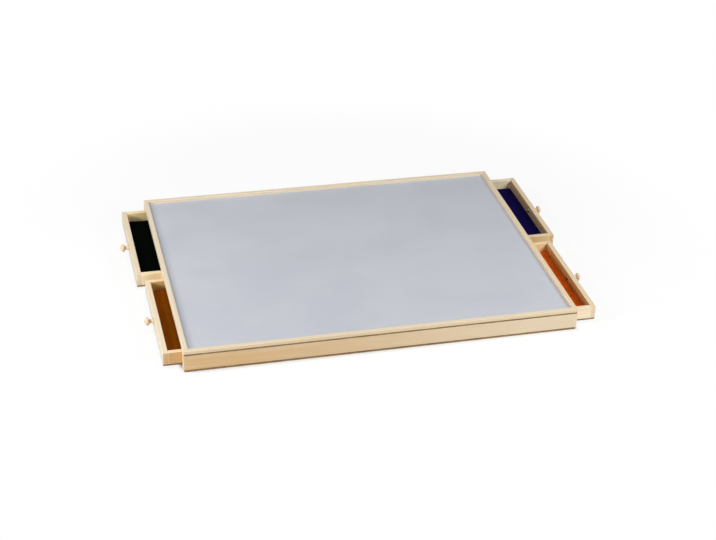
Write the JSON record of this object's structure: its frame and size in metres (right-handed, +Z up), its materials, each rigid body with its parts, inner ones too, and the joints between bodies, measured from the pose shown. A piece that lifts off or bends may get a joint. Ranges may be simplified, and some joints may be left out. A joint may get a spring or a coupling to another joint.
{
  "type": "jigsaw puzzle board",
  "caption": "Flat wooden jigsaw puzzle board: a smooth grey work surface inside a raised rim, over shallow felt-lined drawers that slide out of both short sides.",
  "frame": {"origin": "centre of the flat underside of the board", "axes": "+X along the board's length to the right, +Y away from the long front edge, +Z up through the work surface"},
  "size_m": [0.9067, 0.585, 0.045],
  "materials": {
    "pine": "pale straight-grained softwood, clear satin",
    "hardboard": "brown hardboard, smooth",
    "grey_surface": "smooth low-sheen grey facing",
    "felt_black": "black felt",
    "felt_ochre": "ochre brown felt",
    "felt_navy": "navy felt",
    "felt_orange": "rust orange felt",
    "knob_wood": "turned hardwood, clear satin",
    "dowel_wood": "plain beech dowel",
    "steel": "zinc plated"
  },
  "bodies": {
    "case": {"base_panel": "hardboard", "base_screws": "steel", "front_apron": "pine", "back_apron": "pine", "centre_stop_rail": "pine", "left_front_guide": "pine", "left_centre_runner": "pine", "left_back_guide": "pine", "right_front_guide": "pine", "right_centre_runner": "pine", "right_back_guide": "pine", "work_board": "hardboard", "work_surface": "grey_surface", "front_rim": "pine", "back_rim": "pine", "left_rim": "pine", "right_rim": "pine", "rim_dowels": "dowel_wood"},
    "left_front_drawer": {"left_front_drawer_face": "pine", "left_front_drawer_near_wall": "pine", "left_front_drawer_far_wall": "pine", "left_front_drawer_end_wall": "pine", "left_front_drawer_bottom": "hardboard", "left_front_drawer_brads": "steel", "left_front_drawer_lining": "felt_ochre", "left_front_drawer_knob": "knob_wood", "left_front_drawer_knob_screw": "steel"},
    "left_back_drawer": {"left_back_drawer_face": "pine", "left_back_drawer_near_wall": "pine", "left_back_drawer_far_wall": "pine", "left_back_drawer_end_wall": "pine", "left_back_drawer_bottom": "hardboard", "left_back_drawer_brads": "steel", "left_back_drawer_lining": "felt_black", "left_back_drawer_knob": "knob_wood", "left_back_drawer_knob_screw": "steel"},
    "right_front_drawer": {"right_front_drawer_face": "pine", "right_front_drawer_near_wall": "pine", "right_front_drawer_far_wall": "pine", "right_front_drawer_end_wall": "pine", "right_front_drawer_bottom": "hardboard", "right_front_drawer_brads": "steel", "right_front_drawer_lining": "felt_orange", "right_front_drawer_knob": "knob_wood", "right_front_drawer_knob_screw": "steel"},
    "right_back_drawer": {"right_back_drawer_face": "pine", "right_back_drawer_near_wall": "pine", "right_back_drawer_far_wall": "pine", "right_back_drawer_end_wall": "pine", "right_back_drawer_bottom": "hardboard", "right_back_drawer_brads": "steel", "right_back_drawer_lining": "felt_navy", "right_back_drawer_knob": "knob_wood", "right_back_drawer_knob_screw": "steel"}
  },
  "joints": [
    {"name": "left_front_drawer_slide", "type": "slide", "parent": "case", "child": "left_front_drawer", "axis": [-1, 0, 0], "range_m": [-0.0354, 0.2646]},
    {"name": "left_back_drawer_slide", "type": "slide", "parent": "case", "child": "left_back_drawer", "axis": [-1, 0, 0], "range_m": [-0.0493, 0.2507]},
    {"name": "right_front_drawer_slide", "type": "slide", "parent": "case", "child": "right_front_drawer", "axis": [1, 0, 0], "range_m": [-0.0463, 0.2537]},
    {"name": "right_back_drawer_slide", "type": "slide", "parent": "case", "child": "right_back_drawer", "axis": [1, 0, 0], "range_m": [-0.0626, 0.2374]}
  ]
}
